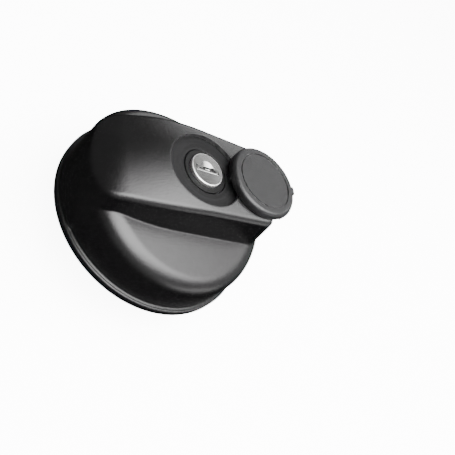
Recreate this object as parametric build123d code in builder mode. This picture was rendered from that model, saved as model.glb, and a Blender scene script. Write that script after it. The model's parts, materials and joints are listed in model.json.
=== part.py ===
from build123d import *
import os
from math import atan, cos, radians, sin, sqrt, tan

# Locking fuel filler cap. Millimetres, +Z out of the filler neck.
# z = 0 is the plane where the seal meets the neck, the origin lies on the cap's axis,
# and +X runs along the grip bar towards the end where the dust cover lies open.

# Outer shell
flange_radius = 43.0
wall = 2.6
flange_depth = 3.0
bead_width = 0.9
bead_bevel = 0.35
bead_groove_width = 0.35
bead_groove_depth = 0.4
ledge_drop = 0.15
ledge_width = 1.9
drum_edge_radius = 7.0
shoulder_height = 19.8          # beside the bar's widest part
shoulder_fall = 9.4             # degrees, outwards from the bar
shoulder_tilt = 2.9             # degrees, down towards the tail
shoulder_crown = 90.0           # radius that joins both shoulders under the bar

# Grip bar
bar_tail_setback = 10.6         # top of the end wall at +X, inside the drum
bar_tail_lean = 13.5            # degrees
bar_tail_half = 17.2
bar_wide_half = 19.7
bar_wide_x = -6.0
bar_nose_proud = 0.8            # end wall at -X, outside the drum
bar_nose_half = 16.8
bar_tail_corner = 4.5
bar_nose_corner = 8.0
bar_edge_radius = 2.2
nose_slope_x = 2.0              # the top starts to fall here
nose_length = 9.9               # of the round nose
nose_drop = 5.0                 # of the top, where the round nose starts
nose_overrun = 2.0              # how far the nose curve runs past the end wall

# Lock recess and lock
recess_depth = 1.7
collar_reach = 1.3              # beyond the barrel
collar_proud = 0.25
collar_gap = 0.4                # dark ring round the collar
collar_bevel = 0.2
collar_seat_depth = 0.8
plug_shelf_rise = 0.6
barrel_radius = 8.0
barrel_wall = 2.0
lock_boss_wall = 1.5
barrel_length = 21.0            # below the collar
plug_fit = 0.05
face_overhang = 1.08            # beyond the plug
face_proud = 1.6                # above the recess floor
face_sheet = 0.5
face_gap = 0.25
face_skirt = 1.6
face_round = 0.4
key_slot_room = 0.7             # beyond each end of the keyway
key_slot_width = 2.5            # at its round ends
key_slot_waist = 1.9
keyway_margin = 1.45            # inside the plug, at each end
keyway_width = 2.3
keyway_depth = 17.5
shutter_sheet = 0.4
shutter_pin_radius = 0.4
shutter_pin_fit = 0.02
shutter_pin_margin = 0.65       # inside the plug, at each end
shutter_knuckle = 0.75
shutter_room = 0.2
wafer_count = 5
wafer_thickness = 1.0
wafer_pitch = 2.4
wafer_width = 4.5
wafer_play = 0.05
clip_thickness = 1.0
clip_groove = 0.8
clip_reach = 1.0
o_ring_section = 0.8
o_ring_room = 0.16

# Dust cover
cover_thickness = 3.4
cover_lift = 0.2                # above the bar's top
cover_pivot_room = 0.3          # between the stem's boss and the lock's
cover_edge_radius = 1.5
cover_ring_inset = 3.5
cover_ring_width = 0.7
cover_ring_depth = 0.4
cover_rim = 2.6
cover_pocket_depth = 1.5
cover_foot_radius = 2.4
cover_foot_room = 0.2           # inside the recess
stem_radius = 2.0
stem_fit = 0.05
spring_sheet = 0.4
stem_boss_wall = 1.2
stem_proud = 1.0                # below its seat
tab_width = 3.5
tab_reach = 1.0
ridge_count = 9
ridge_first = -18.0
ridge_last = -64.0
ridge_radius = 0.4

# Clutch between lock and core
cam_gap = 0.5                   # inside the barrel
cam_thickness = 2.4
cam_cover = 0.65                # of the barrel over the cam
cam_pin_offset = 3.2
cam_pin_angle = 45.0
cam_pin_radius = 1.3
cam_pin_play = 0.2
cam_screw_radius = 1.0
cam_screw_head = 1.7
cam_screw_grip = 4.0
bolt_thickness = 2.6
bolt_half_width = 6.2
bolt_tail = -8.5
bolt_neck = 15.0
bolt_tip_half = 2.1
bolt_play = 0.1
guide_floor = 1.2
guide_post_room = 0.4           # between a post and the barrel's clip
guide_post_radius = 3.2
notch_count = 12
notch_play = 0.5
clutch_ring_wall = 4.0
clutch_ring_margin = 5.3        # inside the core's flange
clutch_ring_room = 3.4          # between guide and ring
running_gap = 0.3               # between parts that turn past each other

# Core, seal and bayonet
seal_thickness = 2.7
seal_width = 9.4
seal_margin = 1.5               # inside the core's flange
seal_bevel = 0.4
core_flange_thickness = 3.0
spigot_depth = 20.0
spigot_wall = 2.4
post_radius = 6.0
plate_thickness = 1.6
plate_z = -14.8
plate_half_width = 7.0
wing_overhang = 6.5             # beyond the spigot
wing_corner = 3.0
wing_lead = 0.7
window_play = 0.6
rivet_radius = 2.5
rivet_grip = 8.0
rivet_head_radius = 4.2
rivet_head_height = 1.4
rivet_head_round = 1.0
washer_thickness = 0.8
retainer_play = 0.5             # round the seal
retainer_thickness = 1.7
retainer_gap = 0.3
retainer_screw_count = 4
retainer_screw_angle = 45.0
boss_radius = 2.5
boss_overlap = 0.1              # of the bosses with the skirt
screw_radius = 1.2
screw_head_radius = 2.2
screw_head_height = 1.2
screw_length = 7.0
screw_end_room = 1.0
screw_drive_length = 2.6
screw_drive_width = 0.6
screw_drive_depth = 0.7
screw_fit = 0.05

# Vent valve
vent_room = 0.7                 # inside the spigot
vent_hole_radius = 2.0
vent_disc_radius = 4.4
vent_disc_thickness = 1.4
vent_bore_radius = 4.8
vent_wall = 1.5
vent_depth = 8.0
vent_cap_thickness = 1.6
vent_wire_radius = 0.35
vent_coil_radius = 2.9
vent_coil_turns = 3
vent_coil_gap = 0.05
vent_wire_sides = 6

# Sizes that follow, from the flange inwards
drum_radius = flange_radius - ledge_width
skirt_bore = drum_radius - wall
retainer_screw_circle = skirt_bore - boss_radius + boss_overlap
core_flange_radius = skirt_bore - 2 * boss_radius - running_gap
seal_outer_radius = core_flange_radius - seal_margin
retainer_inner_radius = seal_outer_radius + retainer_play
spigot_radius = seal_outer_radius - seal_width - running_gap
wing_reach = spigot_radius + wing_overhang
clutch_ring_bore = core_flange_radius - clutch_ring_margin - clutch_ring_wall
guide_radius = clutch_ring_bore - clutch_ring_room
vent_x = spigot_radius - spigot_wall - vent_room - vent_wall - vent_bore_radius

# Sizes that follow from the barrel
barrel_bore = barrel_radius - barrel_wall
plug_radius = barrel_bore - plug_fit
cam_radius = barrel_bore - cam_gap
collar_radius = barrel_radius + collar_reach
face_radius = plug_radius + face_overhang
face_well = face_radius + face_gap
keyway_length = 2 * (plug_radius - keyway_margin)
key_slot_length = keyway_length + 2 * key_slot_room
shutter_pin_half = plug_radius - shutter_pin_margin
cover_pivot_x = barrel_radius + lock_boss_wall + cover_pivot_room + stem_boss_wall + stem_radius
cover_pivot = (cover_pivot_x, 0)
recess_radius = cover_pivot_x + cover_foot_radius + cover_foot_room
cover_radius = recess_radius
cover_ring_radius = cover_radius - cover_ring_inset
cover_pocket_radius = cover_radius - cover_rim
guide_post_y = barrel_radius + clip_reach + guide_post_room + guide_post_radius

# Places and heights that follow
bar_tail_x = drum_radius - bar_tail_setback
bar_nose_radius = drum_radius + bar_nose_proud
nose_break_x = nose_length - bar_nose_radius
bar_root = -ledge_drop
flange_low = seal_thickness
flange_high = seal_thickness + core_flange_thickness
guide_low = flange_high + running_gap
bolt_low = guide_low + guide_floor + bolt_play / 2
bolt_high = bolt_low + bolt_thickness
guide_high = bolt_high + bolt_play
cam_low = guide_high + running_gap
cam_high = cam_low + cam_thickness
plug_bottom = cam_high
clutch_ring_high = bolt_high + running_gap
retainer_high = flange_low - retainer_gap
retainer_low = retainer_high - retainer_thickness
cam_pin_x = -cam_pin_offset * sin(radians(cam_pin_angle))
cam_pin_y = cam_pin_offset * cos(radians(cam_pin_angle))
barrel_bottom = cam_high - cam_cover
clip_low = barrel_bottom + clip_groove
lock_boss_low = clip_low + clip_thickness
collar_seat = barrel_bottom + barrel_length
plug_shelf = collar_seat + plug_shelf_rise
recess_floor = collar_seat + collar_seat_depth
collar_top = recess_floor + collar_proud
face_top = recess_floor + face_proud
plug_head_top = face_top - face_sheet
stem_seat = recess_floor - 2 * wall
stem_low = stem_seat - stem_proud
bar_top = recess_floor + recess_depth
cover_bottom = bar_top + cover_lift
cover_top = cover_bottom + cover_thickness

os.makedirs("parts", exist_ok=True)


def save(builder, label):
    """Name a finished piece and write it to its own file."""
    builder.part.label = label
    export_step(builder.part, f"parts/{label}.step")


def post(radius, low, high, at=(0, 0), mode=Mode.ADD):
    """Round post or hole between two heights."""
    with BuildSketch(Plane.XY.offset(low)) as outline:
        with Locations(at):
            Circle(radius)
    extrude(outline.sketch, amount=high - low, mode=mode)


def ring(outer, inner, low, high, mode=Mode.ADD):
    """Round ring between two heights."""
    with BuildSketch(Plane.XY.offset(low)) as outline:
        Circle(outer)
        Circle(inner, mode=Mode.SUBTRACT)
    extrude(outline.sketch, amount=high - low, mode=mode)


def block(x_size, y_size, low, high, at=(0, 0), mode=Mode.ADD):
    """Rectangular block or slot between two heights."""
    with BuildSketch(Plane.XY.offset(low)) as outline:
        with Locations(at):
            Rectangle(x_size, y_size)
    extrude(outline.sketch, amount=high - low, mode=mode)


def shared_edges(faces, others):
    """Edges that lie between two groups of faces."""
    other_edges = [edge for face in others for edge in face.edges()]
    return ShapeList(edge for face in faces for edge in face.edges() if edge in other_edges)


def screw_circle(radius, low, high, mode=Mode.ADD):
    """Round posts or holes on the circle of the retainer's screws."""
    with BuildSketch(Plane.XY.offset(low)) as outline:
        with PolarLocations(retainer_screw_circle, retainer_screw_count, start_angle=retainer_screw_angle):
            Circle(radius)
    extrude(outline.sketch, amount=high - low, mode=mode)


# Grip bar: boat-shaped outline from above, cut to the side profile
def bar_outline(inset):
    """Outline of the bar from above, drawn in by an inset."""
    tail_half = bar_tail_half - inset
    nose_end = bar_nose_radius - inset
    nose_half = bar_nose_half - inset
    nose_x = -sqrt(nose_end**2 - nose_half**2)
    with BuildSketch(Plane.XY.offset(bar_root)) as outline:
        with BuildLine():
            side = Line((drum_radius, tail_half), (bar_wide_x, bar_wide_half - inset))
            bow = TangentArc(side @ 1, (nose_x, nose_half), tangent=side % 1)
            ThreePointArc(bow @ 1, (-nose_end, 0), (nose_x, -nose_half))
            Line((drum_radius, -tail_half), side @ 0)
            mirror([side, bow], about=Plane.XZ)
        make_face()
        fillet(outline.vertices().group_by(Axis.X)[0], bar_nose_corner - inset)
    return outline.sketch


def bar_profile(inset):
    """Side view of the bar: leaning tail, level top that bows down, and a round nose."""
    top_z = bar_top - inset
    break_z = top_z - nose_drop
    run = nose_slope_x - nose_break_x
    fall = 2 * atan(nose_drop / run)
    nose_end = inset - bar_nose_radius - nose_overrun
    nose_round = (nose_break_x - nose_end) / (1 - sin(fall))
    lean = radians(bar_tail_lean)
    tail_x = bar_tail_x - inset / cos(lean)
    with BuildSketch(Plane.XZ) as profile:
        with BuildLine():
            top = Line((tail_x + inset * tan(lean), top_z), (nose_slope_x, top_z))
            bow = TangentArc(top @ 1, (nose_break_x, break_z), tangent=top % 1)
            nose = TangentArc(bow @ 1, (nose_end, break_z - nose_round * cos(fall)), tangent=bow % 1)
            Polyline(
                nose @ 1,
                (nose_end, bar_root),
                (tail_x + (bar_top - bar_root) * tan(lean), bar_root),
                top @ 0,
            )
        make_face()
    return profile.sketch


with BuildPart() as bar:
    extrude(bar_outline(0), amount=2 * bar_top)
    extrude(bar_profile(0), amount=flange_radius, both=True, mode=Mode.INTERSECT)
    tail_wall = bar.faces().sort_by(Axis.X)[-1]
    upright = bar.faces().filter_by(lambda face: abs(face.normal_at().Z) < sin(radians(bar_tail_lean / 2)))
    fillet(shared_edges([tail_wall], upright), bar_tail_corner)
    base = bar.faces().sort_by(Axis.Z)[0]
    crown = bar.faces().filter_by(lambda face: face.normal_at().Z > sin(radians(2 * bar_tail_lean)))
    walls = bar.faces().filter_by(lambda face: face != base and face not in crown)
    fillet(shared_edges(crown, walls), bar_edge_radius)

with BuildPart() as bar_hollow:
    extrude(bar_outline(wall), amount=2 * bar_top)
    extrude(bar_profile(wall), amount=flange_radius, both=True, mode=Mode.INTERSECT)


def drum(inset):
    """Round body under the bar: both shoulders fall outwards, and its edge is well rounded."""
    fall = radians(shoulder_fall)
    crown_half = shoulder_crown * sin(fall)
    crown_z = shoulder_height - inset + (bar_wide_half - crown_half) * tan(fall)
    crest_z = crown_z + shoulder_crown * (1 - cos(fall))
    outer_y = 2 * drum_radius
    outer_z = crown_z - (outer_y - crown_half) * tan(fall)
    with BuildPart() as body:
        post(drum_radius - inset, -flange_depth, bar_top)
        with BuildSketch(Plane.YZ) as above:
            with BuildLine():
                near = Line((-outer_y, outer_z), (-crown_half, crown_z))
                crest = ThreePointArc(near @ 1, (0, crest_z), (crown_half, crown_z))
                Polyline(
                    crest @ 1,
                    (outer_y, outer_z),
                    (outer_y, 2 * bar_top),
                    (-outer_y, 2 * bar_top),
                    near @ 0,
                )
            make_face()
        along = (1, 0, -tan(radians(shoulder_tilt)))
        extrude(above.sketch, amount=outer_y, dir=along, both=True, mode=Mode.SUBTRACT)
        side = body.faces().filter_by(GeomType.CYLINDER).sort_by(Axis.Z)[0]
        shoulders = body.faces().filter_by(lambda face: face.normal_at().Z > cos(radians(3 * shoulder_fall)))
        fillet(shared_edges([side], shoulders), drum_edge_radius - inset)
    return body.part


# Outer shell
with BuildPart() as cap_shell:
    with BuildSketch(Plane.XZ):
        with BuildLine():
            ledge = flange_radius - bead_width - bead_groove_width
            rim = Line((0, -flange_depth), (flange_radius, -flange_depth))
            Polyline(
                rim @ 1,
                (flange_radius, -bead_bevel),
                (flange_radius - bead_bevel, 0),
                (flange_radius - bead_width, 0),
                (flange_radius - bead_width, -bead_groove_depth),
                (ledge, -bead_groove_depth),
                (ledge, -ledge_drop),
                (0, -ledge_drop),
                rim @ 0,
            )
        make_face()
    revolve(axis=Axis.Z)
    add(drum(0))
    add(bar.part)
    # Hollow inside
    add(drum(wall), mode=Mode.SUBTRACT)
    add(bar_hollow.part, mode=Mode.SUBTRACT)
    # Lock recess with its floor, lock boss and posts for the bolt guide
    post(recess_radius, recess_floor, bar_top, mode=Mode.SUBTRACT)
    post(recess_radius + wall / 2, recess_floor - wall, recess_floor)
    post(barrel_radius + lock_boss_wall, lock_boss_low, recess_floor)
    for y in (-guide_post_y, guide_post_y):
        post(guide_post_radius, guide_high, recess_floor - wall, at=(0, y))
    # Seat of the cover's stem
    post(stem_radius + stem_boss_wall, stem_seat, recess_floor, at=cover_pivot)
    post(stem_radius + stem_fit, stem_seat, recess_floor, cover_pivot, Mode.SUBTRACT)
    # Bores for the barrel and its collar
    post(barrel_radius + plug_fit, lock_boss_low, recess_floor, mode=Mode.SUBTRACT)
    post(collar_radius + collar_gap, collar_seat, recess_floor, mode=Mode.SUBTRACT)
    for y in (-guide_post_y, guide_post_y):
        post(screw_radius, guide_high, guide_high + screw_length, (0, y), Mode.SUBTRACT)
    # Bosses for the retainer ring, on the skirt and under the shoulders
    with BuildPart() as bosses:
        screw_circle(boss_radius, retainer_high, bar_top)
        add(drum(wall / 2), mode=Mode.INTERSECT)
    add(bosses.part)
    screw_circle(screw_radius, retainer_high, retainer_high + screw_length, Mode.SUBTRACT)
save(cap_shell, "cap_shell")

# Dust cover, drawn where it lies swung open
cover_x = 2 * cover_pivot_x
with BuildPart() as dust_cover:
    post(cover_radius, cover_bottom, cover_top, at=(cover_x, 0))
    block(2 * tab_reach, tab_width, cover_bottom, cover_top, at=(cover_x + cover_radius, 0))
    top_edges = dust_cover.faces().sort_by(Axis.Z)[-1].edges()
    fillet(top_edges, cover_edge_radius)
    with BuildSketch(Plane.XY.offset(cover_top)) as ring_groove:
        with Locations((cover_x, 0)):
            Circle(cover_ring_radius + cover_ring_width / 2)
            Circle(cover_ring_radius - cover_ring_width / 2, mode=Mode.SUBTRACT)
    extrude(ring_groove.sketch, amount=-cover_ring_depth, mode=Mode.SUBTRACT)
    post(cover_pocket_radius, cover_bottom, cover_bottom + cover_pocket_depth, (cover_x, 0), Mode.SUBTRACT)
    foot_low = recess_floor + bolt_play
    post(cover_foot_radius, foot_low, cover_bottom + cover_pocket_depth, at=cover_pivot)
    post(stem_radius, stem_low, foot_low, at=cover_pivot)
    post(screw_radius, stem_low, stem_low + screw_length, cover_pivot, Mode.SUBTRACT)
    # Grip ridges on the near edge
    ridge_high = cover_top - cover_edge_radius
    with BuildSketch(Plane.XY.offset(cover_bottom)) as ridges:
        with Locations((cover_x, 0)):
            with PolarLocations(
                cover_radius, ridge_count, ridge_first, ridge_last - ridge_first, endpoint=True
            ):
                Circle(ridge_radius)
    extrude(ridges.sketch, amount=ridge_high - cover_bottom)
save(dust_cover, "dust_cover")

with BuildPart() as cover_pivot_screw:
    post(screw_head_radius + stem_fit, stem_low - screw_head_height, stem_low, at=cover_pivot)
    post(screw_radius - screw_fit, stem_low, stem_low + screw_length - screw_end_room, at=cover_pivot)
save(cover_pivot_screw, "cover_pivot_screw")

# Conical spring washer between the stem's seat and the screw's head
with BuildPart() as cover_spring_washer:
    washer_inner = stem_radius + stem_fit
    washer_outer = stem_radius + stem_boss_wall
    with BuildSketch(Plane.XZ):
        with BuildLine():
            Polyline(
                (washer_inner, stem_low + stem_fit),
                (washer_inner, stem_low + stem_fit + spring_sheet),
                (washer_outer, stem_seat - stem_fit),
                (washer_outer, stem_seat - stem_fit - spring_sheet),
                close=True,
            )
        make_face()
    revolve(axis=Axis(origin=(0, 0, 0), direction=(0, 0, 1)))
cover_spring_washer.part.position = (cover_pivot_x, 0, 0)
save(cover_spring_washer, "cover_spring_washer")

# Lock barrel with its collar, seal and clip
o_ring_z = collar_seat - 2 * o_ring_section
o_ring_axis = barrel_radius - o_ring_section
with BuildPart() as lock_barrel:
    post(collar_radius, collar_seat, collar_top)
    post(barrel_radius, barrel_bottom, collar_seat)
    chamfer(lock_barrel.faces().sort_by(Axis.Z)[-1].edges(), collar_bevel)
    post(face_well, plug_shelf, collar_top, mode=Mode.SUBTRACT)
    post(barrel_bore, barrel_bottom, plug_shelf, mode=Mode.SUBTRACT)
    ring(barrel_radius, barrel_radius - clip_groove, clip_low, clip_low + clip_thickness, Mode.SUBTRACT)
    groove_low = o_ring_z - o_ring_section - o_ring_room
    groove_high = o_ring_z + o_ring_section + o_ring_room
    ring(barrel_radius, o_ring_axis - o_ring_section, groove_low, groove_high, Mode.SUBTRACT)
save(lock_barrel, "lock_barrel")

with BuildPart() as barrel_clip:
    clip_high = clip_low + clip_thickness
    ring(barrel_radius + clip_reach, barrel_radius - clip_groove, clip_low, clip_high)
    block(barrel_radius, barrel_radius, clip_low, clip_high, (-barrel_radius, 0), Mode.SUBTRACT)
save(barrel_clip, "barrel_clip")

with BuildPart() as barrel_o_ring:
    with BuildSketch(Plane.XZ):
        with Locations((o_ring_axis, o_ring_z)):
            Circle(o_ring_section)
    revolve(axis=Axis.Z)
save(barrel_o_ring, "barrel_o_ring")

# Turning plug: keyway, shutter pocket and wafer slots
hinge_y = keyway_width / 2 + shutter_knuckle + shutter_room
hinge_z = plug_head_top - shutter_knuckle - shutter_room
wafer_low = plug_head_top - keyway_depth + wafer_pitch
wafer_levels = [wafer_low + wafer_pitch * i for i in range(wafer_count)]
pocket_near = -keyway_width / 2 - shutter_room
pocket_far = hinge_y + shutter_knuckle + shutter_room
pocket_depth = hinge_y - pocket_near + 2 * shutter_knuckle
head_radius = face_radius - face_sheet - plug_fit
with BuildPart() as lock_plug:
    post(plug_radius, plug_bottom, plug_head_top)
    post(head_radius, plug_shelf + plug_fit, plug_head_top)
    block(keyway_length, keyway_width, plug_head_top - keyway_depth, plug_head_top, mode=Mode.SUBTRACT)
    block(
        keyway_length,
        pocket_far - pocket_near,
        plug_head_top - pocket_depth,
        plug_head_top,
        at=(0, (pocket_far + pocket_near) / 2),
        mode=Mode.SUBTRACT,
    )
    with BuildSketch(Plane.YZ) as pin_hole:
        with Locations((hinge_y, hinge_z)):
            Circle(shutter_pin_radius + shutter_pin_fit)
    extrude(pin_hole.sketch, amount=shutter_pin_half, both=True, mode=Mode.SUBTRACT)
    for level in wafer_levels:
        slot_high = level + wafer_thickness + 2 * wafer_play
        block(2 * barrel_radius, wafer_width + 2 * wafer_play, level, slot_high, mode=Mode.SUBTRACT)
    post(cam_screw_radius + screw_fit, plug_bottom, plug_bottom + cam_screw_grip, mode=Mode.SUBTRACT)
save(lock_plug, "lock_plug")

with BuildPart() as wafer_tumblers:
    for level in wafer_levels:
        with BuildSketch(Plane.XY.offset(level)) as wafer:
            Circle(plug_radius - wafer_play)
            Rectangle(2 * barrel_radius, wafer_width, mode=Mode.INTERSECT)
            Rectangle(keyway_length - 2 * wafer_thickness, keyway_width, mode=Mode.SUBTRACT)
        extrude(wafer.sketch, amount=wafer_thickness)
save(wafer_tumblers, "wafer_tumblers")

# Bright cap drawn over the plug's head, with the key slot
with BuildPart() as lock_face_cap:
    post(face_radius, face_top - face_skirt, face_top)
    fillet(lock_face_cap.faces().sort_by(Axis.Z)[-1].edges(), face_round)
    post(face_radius - face_sheet, face_top - face_skirt, plug_head_top, mode=Mode.SUBTRACT)
    with BuildSketch(Plane.XY.offset(plug_head_top)) as key_slot:
        Rectangle(key_slot_length - key_slot_width, key_slot_waist)
        with GridLocations(key_slot_length - key_slot_width, 0, 2, 1):
            Circle(key_slot_width / 2)
    extrude(key_slot.sketch, amount=face_sheet, mode=Mode.SUBTRACT)
save(lock_face_cap, "lock_face_cap")

# Shutter: bowed leaf on a knuckle, with its pin
shutter_half = keyway_length / 2 - shutter_room
with BuildPart() as keyway_shutter:
    with BuildSketch(Plane.YZ) as leaf:
        with BuildLine():
            crest = hinge_z + shutter_knuckle
            tip_y = pocket_near + shutter_room
            outer = ThreePointArc((hinge_y, crest), (0, crest), (tip_y, hinge_z))
            inner = ThreePointArc(
                (tip_y + shutter_sheet, hinge_z - shutter_sheet),
                (0, crest - shutter_sheet),
                (hinge_y, hinge_z),
            )
            Line(outer @ 1, inner @ 0)
            Line(inner @ 1, outer @ 0)
        make_face()
        with Locations((hinge_y, hinge_z)):
            Circle(shutter_knuckle)
            Circle(shutter_pin_radius + plug_fit, mode=Mode.SUBTRACT)
    extrude(leaf.sketch, amount=shutter_half, both=True)
save(keyway_shutter, "keyway_shutter")

with BuildPart() as shutter_pin:
    with BuildSketch(Plane.YZ) as pin:
        with Locations((hinge_y, hinge_z)):
            Circle(shutter_pin_radius)
    extrude(pin.sketch, amount=shutter_pin_half - shutter_pin_fit, both=True)
save(shutter_pin, "shutter_pin")

# Cam on the plug's tail, and its screw
with BuildPart() as lock_cam:
    post(cam_radius, cam_low, cam_high)
    post(cam_pin_radius, bolt_low, cam_low, at=(cam_pin_x, cam_pin_y))
    post(cam_screw_head + bolt_play, cam_low, cam_low + cam_thickness / 2, mode=Mode.SUBTRACT)
    post(cam_screw_radius + screw_fit, cam_low, cam_high, mode=Mode.SUBTRACT)
save(lock_cam, "lock_cam")

with BuildPart() as cam_screw:
    post(cam_screw_head, cam_low, cam_low + cam_thickness / 2)
    post(cam_screw_radius, cam_low, plug_bottom + cam_screw_grip - bolt_play)
save(cam_screw, "cam_screw")

# Clutch bolt in its guide
bolt_tip = clutch_ring_bore - 2 * running_gap
with BuildPart() as clutch_bolt:
    with BuildSketch(Plane.XY.offset(bolt_low)) as bolt_outline:
        with Locations(((bolt_tail + bolt_neck) / 2, 0)):
            Rectangle(bolt_neck - bolt_tail, 2 * bolt_half_width)
        with Locations((bolt_tip / 2, 0)):
            Rectangle(bolt_tip, 2 * bolt_tip_half)
        slot_middle = (cam_pin_y + cam_pin_offset) / 2
        slot_reach = cam_pin_offset - cam_pin_y + 2 * (cam_pin_radius + cam_pin_play)
        with Locations((cam_pin_x, slot_middle)):
            SlotOverall(slot_reach, 2 * (cam_pin_radius + cam_pin_play), rotation=90, mode=Mode.SUBTRACT)
    extrude(bolt_outline.sketch, amount=bolt_thickness)
save(clutch_bolt, "clutch_bolt")

with BuildPart() as bolt_guide:
    post(guide_radius, guide_low, guide_high)
    for y in (-guide_post_y, guide_post_y):
        post(guide_post_radius, guide_low, guide_high, at=(0, y))
    channel = 2 * (bolt_half_width + bolt_play)
    block(3 * guide_radius, channel, guide_low + guide_floor, guide_high, mode=Mode.SUBTRACT)
    for y in (-guide_post_y, guide_post_y):
        post(screw_radius + screw_fit, guide_low, guide_high, (0, y), Mode.SUBTRACT)
        post(screw_head_radius + bolt_play, guide_low, guide_low + screw_head_height, (0, y), Mode.SUBTRACT)
save(bolt_guide, "bolt_guide")

with BuildPart() as guide_screws:
    for y in (-guide_post_y, guide_post_y):
        post(screw_head_radius, guide_low, guide_low + screw_head_height, at=(0, y))
        post(screw_radius - screw_fit, guide_low, guide_high + screw_length - screw_end_room, at=(0, y))
save(guide_screws, "guide_screws")

# Core: seal flange, notched clutch ring, spigot, post and vent housing
vent_at = (vent_x, 0)
vent_low = flange_low - vent_depth
with BuildPart() as core_body:
    post(core_flange_radius, flange_low, flange_high)
    ring(clutch_ring_bore + clutch_ring_wall, clutch_ring_bore, flange_high, clutch_ring_high)
    with BuildSketch(Plane.XY.offset(bolt_low - running_gap)) as notches:
        with PolarLocations(clutch_ring_bore + clutch_ring_wall / 2, notch_count):
            Rectangle(2 * clutch_ring_wall, 2 * (bolt_tip_half + notch_play))
    extrude(notches.sketch, amount=bolt_thickness + clutch_ring_wall, mode=Mode.SUBTRACT)
    ring(spigot_radius, spigot_radius - spigot_wall, -spigot_depth, flange_low)
    post(post_radius, plate_z, flange_low)
    post(vent_bore_radius + vent_wall, vent_low, flange_low, at=vent_at)
    post(vent_bore_radius, vent_low, flange_low, vent_at, Mode.SUBTRACT)
    post(vent_hole_radius, flange_low, flange_high, vent_at, Mode.SUBTRACT)
    post(rivet_radius + screw_fit, plate_z, plate_z + rivet_grip, mode=Mode.SUBTRACT)
    for y in (-spigot_radius, spigot_radius):
        block(
            2 * (plate_half_width + window_play),
            2 * (spigot_radius - post_radius - spigot_wall),
            plate_z - plate_thickness - window_play,
            plate_z + window_play,
            at=(0, y),
            mode=Mode.SUBTRACT,
        )
save(core_body, "core_body")

with BuildPart() as seal_gasket:
    ring(seal_outer_radius, spigot_radius + running_gap, 0, seal_thickness)
    chamfer(seal_gasket.faces().sort_by(Axis.Z)[0].edges(), seal_bevel)
save(seal_gasket, "seal_gasket")

# Bayonet plate with two wings, and what holds it
plate_low = plate_z - plate_thickness
with BuildPart() as bayonet_plate:
    post(spigot_radius - spigot_wall - window_play, plate_low, plate_z)
    block(2 * plate_half_width, 2 * wing_reach, plate_low, plate_z)
    wing_corners = bayonet_plate.edges().filter_by(Axis.Z).group_by(Axis.Y)
    fillet(wing_corners[0] + wing_corners[-1], wing_corner)
    wing_edges = bayonet_plate.faces().sort_by(Axis.Z)[-1].edges().filter_by(Axis.Y)
    chamfer(wing_edges, wing_lead)
    post(rivet_radius + screw_fit, plate_low, plate_z, mode=Mode.SUBTRACT)
save(bayonet_plate, "bayonet_plate")

with BuildPart() as plate_washer:
    rivet_seat = plate_low - washer_thickness
    ring(rivet_head_radius + washer_thickness, rivet_radius + screw_fit, rivet_seat, plate_low)
save(plate_washer, "plate_washer")

with BuildPart() as plate_rivet:
    post(rivet_radius, rivet_seat, plate_z + rivet_grip - screw_fit)
    post(rivet_head_radius, rivet_seat - rivet_head_height, rivet_seat)
    fillet(plate_rivet.faces().sort_by(Axis.Z)[0].edges(), rivet_head_round)
save(plate_rivet, "plate_rivet")

# Ring that traps the core's flange in the shell
with BuildPart() as retainer_ring:
    ring(skirt_bore - running_gap, retainer_inner_radius, retainer_low, retainer_high)
    screw_circle(screw_radius + screw_fit, retainer_low, retainer_high, Mode.SUBTRACT)
save(retainer_ring, "retainer_ring")

with BuildPart() as retainer_screws:
    head_low = retainer_low - screw_head_height
    screw_circle(screw_head_radius, head_low, retainer_low)
    screw_circle(screw_radius - screw_fit, retainer_low, retainer_high + screw_length - screw_end_room)
    with BuildSketch(Plane.XY.offset(head_low)) as drives:
        with PolarLocations(retainer_screw_circle, retainer_screw_count, start_angle=retainer_screw_angle):
            Rectangle(screw_drive_length, screw_drive_width)
            Rectangle(screw_drive_width, screw_drive_length)
    extrude(drives.sketch, amount=screw_drive_depth, mode=Mode.SUBTRACT)
save(retainer_screws, "retainer_screws")

# Vent valve
spring_low = vent_low + vent_cap_thickness
spring_high = flange_low - vent_disc_thickness
with BuildPart() as vent_valve_disc:
    post(vent_disc_radius, spring_high, flange_low - vent_coil_gap, at=vent_at)
save(vent_valve_disc, "vent_valve_disc")

with BuildPart() as vent_valve_cap:
    post(vent_bore_radius, vent_low, spring_low, at=vent_at)
    post(vent_hole_radius, vent_low, spring_low, vent_at, Mode.SUBTRACT)
save(vent_valve_cap, "vent_valve_cap")

with BuildPart() as vent_valve_spring:
    coil_height = spring_high - spring_low - 2 * (vent_wire_radius + vent_coil_gap)
    coil_start = (vent_x, 0, spring_low + vent_wire_radius + vent_coil_gap)
    with BuildLine() as coil:
        Helix(coil_height / vent_coil_turns, coil_height, vent_coil_radius, center=coil_start)
    with BuildSketch(Plane(origin=coil.line @ 0, z_dir=coil.line % 0)) as wire:
        RegularPolygon(vent_wire_radius, vent_wire_sides)
    sweep(wire.sketch, path=coil.line, is_frenet=True)
save(vent_valve_spring, "vent_valve_spring")
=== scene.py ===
"""Looks of a locking fuel filler cap: finishes, fine surface detail, floor, light and camera. Metres."""
import json
import math

import bmesh
import bpy
from mathutils import Matrix, Vector
from mathutils.geometry import delaunay_2d_cdt


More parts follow.
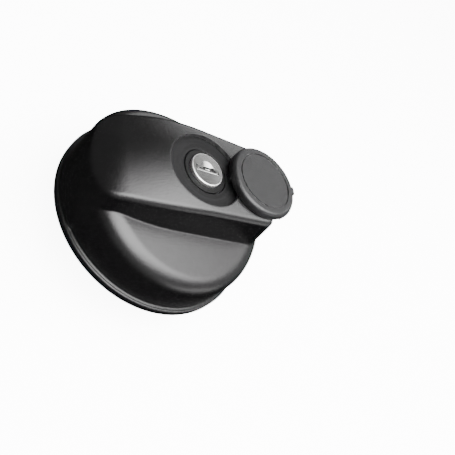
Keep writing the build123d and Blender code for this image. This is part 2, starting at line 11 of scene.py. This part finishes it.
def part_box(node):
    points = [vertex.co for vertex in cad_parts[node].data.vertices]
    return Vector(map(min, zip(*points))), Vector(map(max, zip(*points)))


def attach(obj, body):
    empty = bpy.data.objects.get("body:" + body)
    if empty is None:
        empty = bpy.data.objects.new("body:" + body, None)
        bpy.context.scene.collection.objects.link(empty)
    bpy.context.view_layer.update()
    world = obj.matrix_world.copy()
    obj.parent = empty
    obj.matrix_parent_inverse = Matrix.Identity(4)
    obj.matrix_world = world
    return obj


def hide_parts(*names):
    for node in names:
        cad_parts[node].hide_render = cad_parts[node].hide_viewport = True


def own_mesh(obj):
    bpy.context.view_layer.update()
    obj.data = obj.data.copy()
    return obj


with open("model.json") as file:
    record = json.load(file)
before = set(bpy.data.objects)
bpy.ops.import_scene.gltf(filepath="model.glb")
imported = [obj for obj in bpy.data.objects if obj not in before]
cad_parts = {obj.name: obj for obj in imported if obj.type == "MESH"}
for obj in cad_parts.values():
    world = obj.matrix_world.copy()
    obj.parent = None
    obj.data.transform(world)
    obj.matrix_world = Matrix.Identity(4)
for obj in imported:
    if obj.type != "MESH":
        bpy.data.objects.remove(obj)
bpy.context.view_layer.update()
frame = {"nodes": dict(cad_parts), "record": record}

MM = 0.001

# Camera, as read from the photograph
image_width = 455.0
sensor_width = 36.0
camera_azimuth = math.radians(-53.26)
camera_elevation = math.radians(40.335)
camera_roll = math.radians(54.408)
camera_distance = 251.6 * MM
focal_pixels = 615.4
origin_pixel = (155.9, 213.08)

# Brightness of the room: near side, far side, and the share that is left below the floor
room_near = 0.95
room_far = 0.26
room_below = 0.02
near_side, near_fade = (0.42, -0.91, 0.0), (-0.35, 0.55)
room_up, below_fade = (0.0, 0.0, 1.0), (-0.45, 0.25)

# Soft lights: places and sizes in metres, brightness as radiance
key_place, key_size, key_radiance = (0.027, -0.195, 0.60), (1.02, 0.56), 2.6
around_place, around_size, around_radiance = (0.18, -0.36, 0.62), (1.60, 1.10), 0.7
front_place, front_size, front_radiance = (0.37, -0.47, 0.035), (0.52, 0.15), 2.8
front_toward = (-0.37, 0.47, -0.03)
behind_place, behind_size, behind_radiance = (0.55, 0.65, 0.25), (0.60, 0.35), 2.2
behind_toward = (-0.55, -0.65, -0.2)

# The two overhead lights are nests of panels: shares of the size, their turn and the step between them
key_shares = (0.55, 0.75, 0.95, 1.15, 1.35)
around_shares = (0.6, 0.8, 1.0)
panels_turn = math.radians(33.0)
panels_step = 0.002

# Places on the cap that the finishes follow, and how near a face has to lie to them
recess_floor, floor_fit = 33.8 * MM, 0.05 * MM
recess_radius, wall_fit = 15.6 * MM, 0.4 * MM
cover_x = 26.0 * MM
cover_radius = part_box("dust_cover")[1][1]

# Studio floor
floor_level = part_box("core_body")[0][2]
floor_half = 1.5
floor_glow = 9.0

# Crown of the bar's top, drawn by shading: it fades in between two heights
crown_half = 20.0 * MM
crown_radius = 72.0 * MM
crown_low, crown_full = 24.0 * MM, 27.0 * MM

# Grip ridges round the cover: where they fade in and out, in radians, and how many waves fill a turn
ridge_first = math.radians(-18.0)
ridge_waves = math.tau * 8 / math.radians(46.0)
ridge_fade_in = (-1.15, -1.10)
ridge_fade_out = (-0.28, -0.33)
ridge_band = (cover_radius - 1.6 * MM, cover_radius - 0.9 * MM)


class Finish:
    """A procedural material whose textures run in the frame's own metres."""

    def __init__(self, name, **sockets):
        self.material = bpy.data.materials.new(name)
        self.material.use_nodes = True
        self.tree = self.material.node_tree
        self.shader = self.tree.nodes["Principled BSDF"]
        self.place = self.tree.nodes.new("ShaderNodeTexCoord").outputs["Object"]
        self.split = None
        self.set(**sockets)

    def set(self, **sockets):
        """Sets or links the shader's sockets, written as words joined by underscores."""
        names = {socket.name.lower().replace(" ", "_"): socket for socket in self.shader.inputs}
        for name, value in sockets.items():
            self.feed(names[name], value)

    def feed(self, socket, value):
        if isinstance(value, bpy.types.NodeSocket):
            self.tree.links.new(value, socket)
        elif isinstance(value, tuple) and len(value) == 3 and socket.type == "RGBA":
            socket.default_value = (*value, 1.0)
        else:
            socket.default_value = value

    def node(self, kind, inputs=(), **settings):
        """A new node with its settings made and its first sockets fed."""
        made = self.tree.nodes.new(kind)
        for name, value in settings.items():
            setattr(made, name, value)
        for index, value in enumerate(inputs):
            self.feed(made.inputs[index], value)
        return made

    def math(self, operation, *values):
        return self.node("ShaderNodeMath", values, operation=operation).outputs[0]

    def axis(self, letter):
        if self.split is None:
            self.split = self.node("ShaderNodeSeparateXYZ", [self.place])
        return self.split.outputs[letter]

    def noise(self, scale, detail=2.0, roughness=0.5, at=None):
        made = self.node("ShaderNodeTexNoise", [at or self.place], noise_dimensions="3D")
        made.inputs["Scale"].default_value = scale
        made.inputs["Detail"].default_value = detail
        made.inputs["Roughness"].default_value = roughness
        return made.outputs["Fac"]

    def stretched(self, x, y, z):
        """The place, scaled by its own factor along each axis."""
        return self.node("ShaderNodeVectorMath", [self.place, (x, y, z)], operation="MULTIPLY").outputs[0]

    def polar(self, centre):
        """Distance from a centre, and angle round it."""
        x = self.math("SUBTRACT", self.axis("X"), centre[0])
        y = self.math("SUBTRACT", self.axis("Y"), centre[1])
        radius = self.math("SQRT", self.math("ADD", self.math("MULTIPLY", x, x), self.math("MULTIPLY", y, y)))
        return radius, self.math("ARCTAN2", y, x)

    def ramp(self, value, low, high, to_low=0.0, to_high=1.0, smooth=False):
        kind = "SMOOTHSTEP" if smooth else "LINEAR"
        return self.node(
            "ShaderNodeMapRange", [value, low, high, to_low, to_high], interpolation_type=kind, clamp=True
        ).outputs[0]

    def mix(self, factor, first, second):
        made = self.node("ShaderNodeMix", data_type="RGBA")
        self.feed(made.inputs["Factor"], factor)
        self.feed(made.inputs[6], first)
        self.feed(made.inputs[7], second)
        return made.outputs[2]

    def blend(self, factor, first, second):
        made = self.node("ShaderNodeMix", data_type="FLOAT")
        self.feed(made.inputs[0], factor)
        self.feed(made.inputs[2], first)
        self.feed(made.inputs[3], second)
        return made.outputs[0]

    def bump(self, height, depth, strength, over=None):
        made = self.node("ShaderNodeBump")
        self.feed(made.inputs["Strength"], strength)
        made.inputs["Distance"].default_value = depth
        self.feed(made.inputs["Height"], height)
        if over is not None:
            self.feed(made.inputs["Normal"], over)
        return made.outputs["Normal"]

    def facing_up(self, low, high):
        """0 on steep surfaces, 1 on level ones."""
        normal = self.node("ShaderNodeNewGeometry").outputs["Normal"]
        upward = self.node("ShaderNodeSeparateXYZ", [normal]).outputs["Z"]
        return self.ramp(upward, low, high, smooth=True)

    def softened(self, radius):
        """The surface's direction with its sharp edges broken by a small round."""
        return self.node("ShaderNodeBevel", [radius], samples=6).outputs["Normal"]

    def edge(self, radius):
        """1 along sharp edges, 0 on the open surface."""
        facing = self.node("ShaderNodeNewGeometry").outputs["Normal"]
        dot = self.node("ShaderNodeVectorMath", [self.softened(radius), facing], operation="DOT_PRODUCT")
        return self.ramp(dot.outputs["Value"], 0.985, 0.80)

    def specks(self, scale, share):
        """Sparse small dots: 1 inside a dot."""
        cells = self.node("ShaderNodeTexVoronoi", [self.place], feature="F1")
        cells.inputs["Scale"].default_value = scale
        dots = self.ramp(cells.outputs["Distance"], 0.10, 0.16, 1.0, 0.0)
        chance = self.node("ShaderNodeSeparateColor", [cells.outputs["Color"]]).outputs[0]
        return self.math("MULTIPLY", dots, self.math("LESS_THAN", chance, share))


def moulded_shell():
    """Satin black moulding: slightly crowned bar, fine spark grain, soft smudges and specks of dust."""
    made = Finish("moulded_black", specular_ior_level=0.5)
    flow = made.noise(70.0, 3.0)
    body = made.mix(flow, (0.0008, 0.0008, 0.0009), (0.0013, 0.0013, 0.0014))
    dust = made.specks(260.0, 0.012)
    grain = made.noise(1700.0, 3.0, 0.75)
    across = made.math("MINIMUM", made.math("ABSOLUTE", made.axis("Y")), crown_half)
    crown = made.math("MULTIPLY", made.math("MULTIPLY", across, across), -0.5 / crown_radius)
    high = made.ramp(made.axis("Z"), crown_low, crown_full)
    on_top = made.math("MULTIPLY", made.facing_up(0.3, 0.8), high)
    made.set(
        base_color=made.mix(made.math("MULTIPLY", dust, 0.5), body, (0.45, 0.45, 0.44)),
        roughness=made.ramp(flow, 0.3, 0.7, 0.22, 0.26),
        normal=made.bump(grain, 0.20 * MM, 0.42, made.bump(crown, 1.0, on_top, made.softened(1.0 * MM))),
    )
    return made.material


def turned_recess():
    """Floor of the lock recess: dull, with fine rings round the lock."""
    made = Finish("recess_floor", specular_ior_level=0.14)
    reach, angle = made.polar((0.0, 0.0))
    along, around = made.math("MULTIPLY", reach, 2600.0), made.math("MULTIPLY", angle, 0.35)
    rings = made.node("ShaderNodeCombineXYZ", [along, around]).outputs[0]
    turned = made.noise(1.0, 2.0, 0.6, rings)
    grain = made.noise(1300.0, 3.0, 0.7)
    made.set(
        base_color=made.mix(made.ramp(turned, 0.45, 0.75), (0.0022, 0.0022, 0.0023), (0.010, 0.010, 0.0105)),
        roughness=made.ramp(turned, 0.3, 0.7, 0.46, 0.58),
        normal=made.bump(turned, 0.08 * MM, 0.5, made.bump(grain, 0.25 * MM, 0.6)),
    )
    return made.material


def recess_wall():
    """Step round the recess: painted pale, as light lifting the shade in the step, and unevenly mottled."""
    made = Finish("recess_wall", specular_ior_level=0.14)
    mottle = made.noise(260.0, 4.0, 0.6)
    # The pale tones are painted light over the shade that falls in the step.
    made.set(
        base_color=made.mix(made.ramp(mottle, 0.35, 0.65), (0.016, 0.016, 0.0165), (0.042, 0.042, 0.042)),
        roughness=made.ramp(mottle, 0.3, 0.7, 0.48, 0.60),
        normal=made.bump(made.noise(1900.0, 3.0, 0.6), 0.03 * MM, 0.3),
    )
    return made.material


def moulded_cover():
    """Satin cover, a shade lighter: grained, with waves over its ridges, and light edges that are partly wear
    and partly a painted highlight.
    """
    made = Finish("moulded_cover", specular_ior_level=0.40)
    flow = made.noise(90.0, 3.0)
    colour = made.mix(flow, (0.004, 0.004, 0.0043), (0.006, 0.006, 0.0064))
    # Light edges: wear broken up by noise, strengthened into a painted highlight line along the groove and
    # rim.
    wear_and_highlight = made.math("MULTIPLY", made.edge(0.18 * MM), made.ramp(made.noise(500.0, 3.0), 0.42, 0.62))
    colour = made.mix(made.math("MULTIPLY", wear_and_highlight, 0.8), colour, (0.16, 0.16, 0.16))
    grain = made.noise(1300.0, 3.0, 0.7)
    reach, turned = made.polar((cover_x, 0.0))
    ridged = made.math("MULTIPLY", made.ramp(turned, *ridge_fade_in), made.ramp(turned, *ridge_fade_out))
    ridged = made.math("MULTIPLY", ridged, made.ramp(reach, *ridge_band))
    past_first = made.math("SUBTRACT", turned, ridge_first)
    waves = made.math("COSINE", made.math("MULTIPLY", past_first, ridge_waves))
    ridged = made.math("MULTIPLY", ridged, made.facing_up(0.10, 0.35))
    ridges = made.bump(waves, 0.35 * MM, ridged, made.softened(0.2 * MM))
    made.set(
        base_color=colour,
        roughness=made.ramp(flow, 0.3, 0.7, 0.31, 0.36),
        normal=made.bump(grain, 0.20 * MM, 0.60, ridges),
    )
    return made.material


def plain_plastic(name, dark, light, roughness):
    """Unpainted inner moulding: soft flow marks and a dull grain."""
    made = Finish(name)
    flow = made.noise(55.0, 4.0, 0.6)
    grain = made.noise(1500.0, 2.0)
    made.set(
        base_color=made.mix(flow, dark, light),
        roughness=made.ramp(flow, 0.3, 0.7, roughness - 0.05, roughness + 0.06),
        normal=made.bump(grain, 0.03 * MM, 0.25, made.softened(0.2 * MM)),
    )
    return made.material


def coated_collar():
    """Black coated casting: nearly smooth, rubbed lighter on its edges."""
    made = Finish("collar_black", specular_ior_level=0.14)
    rubbed = made.math("MULTIPLY", made.edge(0.15 * MM), made.ramp(made.noise(700.0, 3.0), 0.40, 0.60))
    colour = made.mix(made.math("MULTIPLY", rubbed, 0.6), (0.0025, 0.0025, 0.0026), (0.05, 0.05, 0.05))
    grain = made.noise(1800.0, 2.0)
    made.set(
        base_color=colour,
        roughness=made.ramp(made.noise(220.0, 2.0), 0.3, 0.7, 0.44, 0.56),
        normal=made.bump(grain, 0.02 * MM, 0.2, made.softened(0.15 * MM)),
    )
    return made.material


def cast_zinc():
    """Die casting: grey, with a fine uneven skin."""
    made = Finish("cast_zinc", metallic=1.0)
    skin = made.noise(420.0, 5.0, 0.65)
    made.set(
        base_color=made.mix(skin, (0.30, 0.30, 0.31), (0.46, 0.46, 0.47)),
        roughness=made.ramp(skin, 0.3, 0.7, 0.34, 0.52),
        normal=made.bump(skin, 0.03 * MM, 0.3, made.softened(0.15 * MM)),
    )
    return made.material


def bright_sheet():
    """Drawn bright sheet: short fine scratches and rubbed, shinier edges."""
    made = Finish("bright_sheet", metallic=1.0)
    scratch = made.noise(1.0, 3.0, 0.6, made.stretched(350.0, 5200.0, 900.0))
    cloud = made.noise(320.0, 3.0)
    tone = made.mix(scratch, (0.26, 0.26, 0.26), (0.46, 0.46, 0.45))
    edge = made.edge(0.25 * MM)
    made.set(
        base_color=made.mix(edge, tone, (0.92, 0.92, 0.91)),
        roughness=made.blend(edge, made.ramp(cloud, 0.3, 0.7, 0.13, 0.20), 0.12),
        normal=made.bump(scratch, 0.01 * MM, 0.25, made.softened(0.2 * MM)),
    )
    return made.material


def rubbed_rim():
    """Rim and skirt of the drawn cap: a much paler copy of the face's sheet, a painted highlight, softly
    polished.
    """
    made = Finish("rubbed_rim", metallic=1.0)
    drawn = made.noise(1.0, 2.0, 0.5, made.stretched(900.0, 900.0, 5200.0))
    made.set(
        base_color=made.mix(drawn, (0.82, 0.82, 0.81), (0.95, 0.95, 0.94)),
        roughness=made.ramp(drawn, 0.3, 0.7, 0.34, 0.46),
        normal=made.bump(drawn, 0.01 * MM, 0.2),
    )
    return made.material


def shaded_sheet():
    """Nearly black sheet, painted shade: the shutter, and the slot's walls and the underside of the lock
    face.
    """
    made = Finish("shaded_sheet", metallic=1.0)
    cloud = made.noise(420.0, 3.0)
    made.set(
        base_color=made.mix(cloud, (0.003, 0.003, 0.003), (0.009, 0.009, 0.009)),
        roughness=made.ramp(cloud, 0.3, 0.7, 0.58, 0.70),
        normal=made.bump(cloud, 0.02 * MM, 0.3, made.softened(0.1 * MM)),
    )
    return made.material


def plated_steel():
    """Zinc plated steel: slightly cloudy, with drawn lines."""
    made = Finish("plated_steel", metallic=1.0)
    cloud = made.noise(160.0, 4.0, 0.6)
    drawn = made.noise(1.0, 2.0, 0.5, made.stretched(260.0, 3600.0, 260.0))
    made.set(
        base_color=made.mix(cloud, (0.44, 0.44, 0.45), (0.62, 0.62, 0.61)),
        roughness=made.ramp(cloud, 0.3, 0.7, 0.26, 0.42),
        normal=made.bump(drawn, 0.015 * MM, 0.25, made.softened(0.15 * MM)),
    )
    return made.material


def plain_brass():
    """Stamped brass: warm, with darker cloudy patches."""
    made = Finish("plain_brass", metallic=1.0)
    cloud = made.noise(300.0, 4.0, 0.6)
    made.set(
        base_color=made.mix(cloud, (0.50, 0.34, 0.12), (0.74, 0.55, 0.24)),
        roughness=made.ramp(cloud, 0.3, 0.7, 0.24, 0.40),
        normal=made.bump(made.noise(1500.0), 0.01 * MM, 0.2, made.softened(0.1 * MM)),
    )
    return made.material


def black_rubber():
    """Nitrile rubber: dull, with a fine pitted skin."""
    made = Finish("black_rubber", specular_ior_level=0.35)
    skin = made.noise(900.0, 4.0, 0.6)
    made.set(
        base_color=made.mix(skin, (0.012, 0.012, 0.012), (0.026, 0.026, 0.026)),
        roughness=made.ramp(skin, 0.3, 0.7, 0.58, 0.74),
        normal=made.bump(skin, 0.04 * MM, 0.3, made.softened(0.2 * MM)),
    )
    return made.material


finish_of_slot = {
    "plastic_black": moulded_shell(),
    "plastic_cover": moulded_cover(),
    "plastic_inner": plain_plastic("plastic_inner", (0.007, 0.007, 0.0075), (0.011, 0.011, 0.0115), 0.5),
    "acetal": plain_plastic("acetal", (0.58, 0.56, 0.50), (0.70, 0.68, 0.62), 0.42),
    "collar_black": coated_collar(),
    "zinc": cast_zinc(),
    "steel_bright": bright_sheet(),
    "steel_plain": plated_steel(),
    "brass": plain_brass(),
    "rubber": black_rubber(),
}

for part in frame["record"]["subparts"]:
    mesh = frame["nodes"][part["node"]].data
    mesh.materials.clear()
    mesh.materials.append(finish_of_slot[part["material_slot"]])

# The shutter takes the near-black sheet: painted shade inside the key slot.
painted_shade_sheet = shaded_sheet()
shutter = frame["nodes"]["keyway_shutter"].data
shutter.materials.clear()
shutter.materials.append(painted_shade_sheet)

shell = frame["nodes"]["cap_shell"].data
shell.materials.append(turned_recess())
shell.materials.append(recess_wall())
for face in shell.polygons:
    reach = math.hypot(face.center.x, face.center.y)
    if abs(face.center.z - recess_floor) < floor_fit and face.normal.z > 0.9 and reach < recess_radius:
        face.material_index = 1
    # Steep faces round the recess take the paler wall: painted light in the shaded step.
    elif face.center.z > recess_floor and face.normal.z < 0.5 and abs(reach - recess_radius) < wall_fit:
        face.material_index = 2


def lock_face():
    """Bright drawn cap: slightly dished, with a bow-tie key slot and the scoop that leads a key into it."""
    top, foot = 35.4 * MM, 33.8 * MM
    outer, sheet, rim, hem = 7.03 * MM, 0.5 * MM, 0.4 * MM, 0.6 * MM
    flat = outer - rim
    thin = 0.7 * sheet
    slot_half, slot_end, slot_waist, slot_flare = 5.1 * MM, 1.15 * MM, 0.75 * MM, 0.8
    scoop_half, scoop_top, scoop_slope = 3.2 * MM, 3.6 * MM, math.tan(math.radians(11.0))
    dish = math.tan(math.radians(1.5)) / (2 * flat)
    segments, slot_steps, scoop_steps = 96, 24, 40
    pitch, merge = 0.22 * MM, 1e-7
    sharp = math.radians(28)

    def lower(x, y):
        """How far the surface lies below the rim."""
        sunk = dish * (flat**2 - x * x - y * y)
        if y > 0 and abs(x) < scoop_half:
            edge = scoop_top * math.sqrt(1 - (x / scoop_half) ** 2)
            sunk += scoop_slope * max(0.0, edge - y)
        return sunk

    around = [math.tau * i / segments for i in range(segments)]
    rows = [Vector((flat * math.cos(a), flat * math.sin(a))) for a in around]
    links = [(i, (i + 1) % segments) for i in range(segments)]
    side = []
    for i in range(slot_steps + 1):
        x = -slot_half + 2 * slot_half * i / slot_steps
        half = slot_waist + (slot_end - slot_waist) * min(1.0, abs(x) / (slot_flare * slot_half)) ** 2
        side.append(Vector((x, -half)))
    hole = side + [Vector((-p.x, -p.y)) for p in side]
    first = len(rows)
    rows += hole
    links += [(first + i, first + (i + 1) % len(hole)) for i in range(len(hole))]
    first = len(rows)
    arc = [math.pi * i / scoop_steps for i in range(1, scoop_steps)]
    curve = [Vector((scoop_half * math.cos(a), scoop_top * math.sin(a))) for a in arc]
    rows += [p for p in curve if p.y > slot_end]
    links += [(i, i + 1) for i in range(first, len(rows) - 1)]
    count = int(flat / pitch)
    for i in range(-count, count + 1):
        for j in range(-count, count + 1):
            p = Vector((i * pitch + (j % 2) * pitch / 2, j * pitch))
            inside_slot = abs(p.x) < slot_half + pitch / 2 and abs(p.y) < slot_end + pitch / 2
            if p.length < flat - pitch / 2 and not inside_slot:
                rows.append(p)
    points, _, faces, _, _, _ = delaunay_2d_cdt(rows, links, [], 4, merge)

    form = bmesh.new()
    upper = [form.verts.new((p.x, p.y, top - lower(p.x, p.y))) for p in points]
    under = [form.verts.new((p.x, p.y, top - thin - lower(p.x, p.y))) for p in points]
    for corners in faces:
        form.faces.new([upper[i] for i in corners])
        form.faces.new([under[i] for i in reversed(corners)])
    hole_index = [min(range(len(points)), key=lambda i: (points[i] - p).length) for p in hole]
    for a, b in zip(hole_index, hole_index[1:] + hole_index[:1]):
        if a != b:
            form.faces.new([upper[b], upper[a], under[a], under[b]])
    bend = [math.radians(degrees) for degrees in range(18, 91, 18)]
    profile = [(flat + rim * math.sin(t), top - rim + rim * math.cos(t)) for t in bend]
    profile += [(outer, foot + hem), (outer, foot)]
    profile += [(outer - sheet, foot), (outer - sheet, top - 2 * sheet)]
    rim_index = [min(range(len(points)), key=lambda i: (points[i] - p).length) for p in rows[:segments]]
    ring = [upper[i] for i in rim_index]
    for radius, height in profile:
        new = [form.verts.new((radius * math.cos(a), radius * math.sin(a), height)) for a in around]
        for i in range(segments):
            k = (i + 1) % segments
            form.faces.new([ring[k], ring[i], new[i], new[k]])
        ring = new
    last = [under[i] for i in rim_index]
    for i in range(segments):
        k = (i + 1) % segments
        form.faces.new([ring[k], ring[i], last[i], last[k]])
    bmesh.ops.recalc_face_normals(form, faces=form.faces)
    mesh = bpy.data.meshes.new("lock_face")
    form.to_mesh(mesh)
    form.free()
    for face in mesh.polygons:
        face.use_smooth = True
    mesh.set_sharp_from_angle(angle=sharp)
    mesh.materials.append(finish_of_slot["steel_bright"])
    mesh.materials.append(rubbed_rim())
    mesh.materials.append(painted_shade_sheet)
    for face in mesh.polygons:
        # The rim and skirt take the paler sheet: a painted highlight.
        if math.hypot(face.center.x, face.center.y) > flat:
            face.material_index = 1
        # Steep faces (the slot's walls, the underside) take the near-black sheet: painted shade.
        elif face.normal.z < 0.6:
            face.material_index = 2
    piece = bpy.data.objects.new("lock_face", mesh)
    bpy.context.scene.collection.objects.link(piece)
    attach(piece, "plug")
    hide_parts("lock_face_cap")


lock_face()


def vent_spring():
    """The vent's coil spring, which shortens as its valve opens: here only copied to a piece of its own, with
    its own mesh, on the core body.
    """
    node = frame["nodes"]["vent_valve_spring"]
    piece = bpy.data.objects.new("vent_spring", node.data.copy())
    piece.matrix_world = node.matrix_world
    bpy.context.scene.collection.objects.link(piece)
    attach(piece, "core")
    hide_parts("vent_valve_spring")
    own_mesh(piece)


vent_spring()


def studio_floor():
    """Pale floor under the cap, which glows and isn't mirrored in the cap."""
    half = floor_half
    mesh = bpy.data.meshes.new("studio_floor")
    corners = [(-half, -half), (half, -half), (half, half), (-half, half)]
    mesh.from_pydata([(x, y, floor_level) for x, y in corners], [], [(0, 1, 2, 3)])
    made = Finish("pale_floor", specular_ior_level=0.1)
    paper = made.noise(30.0, 4.0)
    made.set(
        base_color=made.mix(paper, (0.90, 0.90, 0.90), (0.93, 0.93, 0.93)),
        roughness=made.ramp(paper, 0.3, 0.7, 0.85, 0.95),
        emission_color=(1.0, 1.0, 1.0),
        emission_strength=floor_glow,
    )
    mesh.materials.append(made.material)
    floor = bpy.data.objects.new("studio_floor", mesh)
    bpy.context.scene.collection.objects.link(floor)
    floor.visible_glossy = False


def softbox(name, place, toward, turn, size, radiance):
    """A rectangular soft light of even brightness, which shines in a given direction."""
    length, width = size
    light = bpy.data.lights.new(name, "AREA")
    light.shape = "RECTANGLE"
    light.size = length
    light.size_y = width
    light.energy = radiance * math.pi * length * width
    lamp = bpy.data.objects.new(name, light)
    shine = Vector(toward).normalized()
    lamp.matrix_world = (
        Matrix.Translation(place)
        @ (-shine).to_track_quat("Z", "Y").to_matrix().to_4x4()
        @ Matrix.Rotation(turn, 4, "Z")
    )
    bpy.context.scene.collection.objects.link(lamp)


def nested_panels(name, place, size, shares, radiance):
    """Panels of growing size, one just above the other, that shine down and add up to a soft edge."""
    x, y, z = place
    for index, share in enumerate(shares):
        at = (x, y, z + panels_step * index)
        shared = (size[0] * share, size[1] * share)
        softbox(f"{name}_{index}", at, (0.0, 0.0, -1.0), panels_turn, shared, radiance)


def studio_light():
    """Panels overhead, low in front and behind, and a room that is bright on the near side and dark below."""
    world = bpy.data.worlds.new("studio")
    world.use_nodes = True
    tree = world.node_tree
    around = tree.nodes.new("ShaderNodeTexCoord").outputs["Generated"]

    def shade(toward, low, high, dark, bright):
        """Brightness that rises along one direction of the room."""
        along = tree.nodes.new("ShaderNodeVectorMath")
        along.operation = "DOT_PRODUCT"
        along.inputs[1].default_value = toward
        tree.links.new(around, along.inputs[0])
        made = tree.nodes.new("ShaderNodeMapRange")
        made.interpolation_type = "SMOOTHSTEP"
        for socket, value in zip(made.inputs[1:5], (low, high, dark, bright)):
            socket.default_value = value
        tree.links.new(along.outputs["Value"], made.inputs[0])
        return made.outputs[0]

    both = tree.nodes.new("ShaderNodeMath")
    both.operation = "MULTIPLY"
    tree.links.new(shade(near_side, *near_fade, room_far, room_near), both.inputs[0])
    tree.links.new(shade(room_up, *below_fade, room_below, 1.0), both.inputs[1])
    tree.links.new(both.outputs[0], tree.nodes["Background"].inputs["Strength"])
    tree.nodes["Background"].inputs["Color"].default_value = (1.0, 1.0, 1.0, 1.0)
    bpy.context.scene.world = world
    nested_panels("key", key_place, key_size, key_shares, key_radiance)
    nested_panels("around_key", around_place, around_size, around_shares, around_radiance)
    softbox("low_front", front_place, front_toward, 0.0, front_size, front_radiance)
    softbox("behind", behind_place, behind_toward, 0.0, behind_size, behind_radiance)


def photo_camera():
    """The camera at the photograph's viewing angle, rolled as it was."""
    a, e, r = camera_azimuth, camera_elevation, camera_roll
    back = Vector((math.sin(a) * math.cos(e), -math.cos(a) * math.cos(e), math.sin(e)))
    level = Vector((math.cos(a), math.sin(a), 0.0))
    upright = back.cross(level)
    right = math.cos(r) * level + math.sin(r) * upright
    up = -math.sin(r) * level + math.cos(r) * upright
    aside = (origin_pixel[0] - image_width / 2) / focal_pixels
    above = (image_width / 2 - origin_pixel[1]) / focal_pixels
    eye = camera_distance * (back - aside * right - above * up)
    data = bpy.data.cameras.new("photo_camera")
    data.sensor_width = sensor_width
    data.lens = focal_pixels / image_width * sensor_width
    data.clip_start = 0.01
    camera = bpy.data.objects.new("photo_camera", data)
    camera.matrix_world = Matrix((right, up, back)).transposed().to_4x4()
    camera.location = eye
    bpy.context.scene.collection.objects.link(camera)
    bpy.context.scene.camera = camera


studio_floor()
studio_light()
photo_camera()
